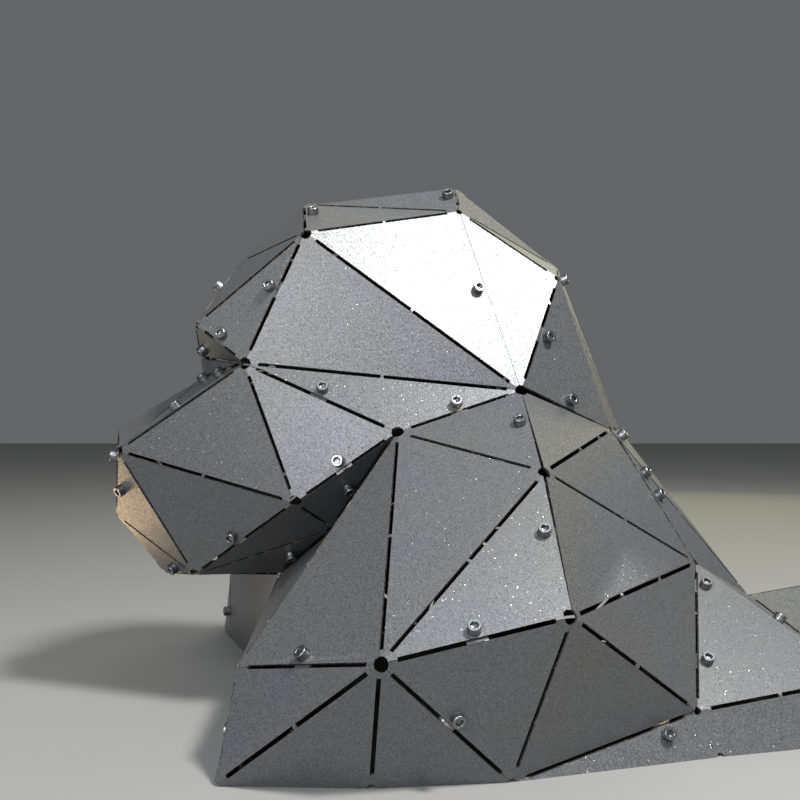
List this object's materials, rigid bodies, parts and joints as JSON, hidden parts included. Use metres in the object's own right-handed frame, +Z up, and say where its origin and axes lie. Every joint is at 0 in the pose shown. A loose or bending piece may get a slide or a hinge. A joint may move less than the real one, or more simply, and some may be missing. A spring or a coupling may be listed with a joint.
{
  "type": "gorilla statue",
  "caption": "Low-poly gorilla head and shoulders, a hollow bust of folded sheet-steel panels with slotted bend lines and socket-head seam screws, open underneath.",
  "frame": {"origin": "middle of the footprint's bounding box, on the ground plane that the feet of the panels stand on", "axes": "-X is where the face looks, -Y is the animal's left side, +Z is up"},
  "size_m": [0.6778, 0.638, 0.4634],
  "materials": {
    "powder_coated_steel": "graphite powder coat with a fine texture and metallic flecks, bare bright edges where the laser cut",
    "zinc_plated_steel": "plain zinc-plated socket-head screws, slightly dulled"
  },
  "bodies": {
    "root": {"temple_left_panel": "powder_coated_steel", "brow_left_panel": "powder_coated_steel", "jaw_left_panel": "powder_coated_steel", "under_jaw_left_panel": "powder_coated_steel", "shoulder_left_panel": "powder_coated_steel", "blade_left_panel": "powder_coated_steel", "arm_left_panel": "powder_coated_steel", "flank_left_panel": "powder_coated_steel", "crown_panel": "powder_coated_steel", "nape_panel": "powder_coated_steel", "ridge_panel": "powder_coated_steel", "eye_bridge_panel": "powder_coated_steel", "muzzle_top_panel": "powder_coated_steel", "throat_panel": "powder_coated_steel", "chest_panel": "powder_coated_steel", "back_panel": "powder_coated_steel", "rear_panel": "powder_coated_steel", "temple_right_panel": "powder_coated_steel", "brow_right_panel": "powder_coated_steel", "jaw_right_panel": "powder_coated_steel", "under_jaw_right_panel": "powder_coated_steel", "shoulder_right_panel": "powder_coated_steel", "blade_right_panel": "powder_coated_steel", "arm_right_panel": "powder_coated_steel", "flank_right_panel": "powder_coated_steel", "screw_left_temple_1": "zinc_plated_steel", "screw_left_temple_2": "zinc_plated_steel", "screw_left_temple_3": "zinc_plated_steel", "screw_left_temple_4": "zinc_plated_steel", "screw_left_temple_5": "zinc_plated_steel", "screw_left_brow_1": "zinc_plated_steel", "screw_left_brow_2": "zinc_plated_steel", "screw_left_eye_bridge_1": "zinc_plated_steel", "screw_left_muzzle_top_1": "zinc_plated_steel", "screw_left_muzzle_top_2": "zinc_plated_steel", "screw_left_muzzle_top_3": "zinc_plated_steel", "screw_left_muzzle_top_4": "zinc_plated_steel", "screw_left_jaw_1": "zinc_plated_steel", "screw_left_jaw_2": "zinc_plated_steel", "screw_left_jaw_3": "zinc_plated_steel", "screw_left_jaw_4": "zinc_plated_steel", "screw_left_under_jaw_1": "zinc_plated_steel", "screw_left_throat_1": "zinc_plated_steel", "screw_left_nape_1": "zinc_plated_steel", "screw_left_nape_2": "zinc_plated_steel", "screw_left_nape_3": "zinc_plated_steel", "screw_left_shoulder_1": "zinc_plated_steel", "screw_left_shoulder_2": "zinc_plated_steel", "screw_left_shoulder_3": "zinc_plated_steel", "screw_left_shoulder_4": "zinc_plated_steel", "screw_left_arm_1": "zinc_plated_steel", "screw_left_ridge_1": "zinc_plated_steel", "screw_left_ridge_2": "zinc_plated_steel", "screw_left_ridge_3": "zinc_plated_steel", "screw_left_flank_1": "zinc_plated_steel", "screw_left_flank_2": "zinc_plated_steel", "screw_left_back_1": "zinc_plated_steel", "screw_left_blade_1": "zinc_plated_steel", "screw_left_flank_3": "zinc_plated_steel", "screw_left_brow_3": "zinc_plated_steel"}
  },
  "joints": []
}
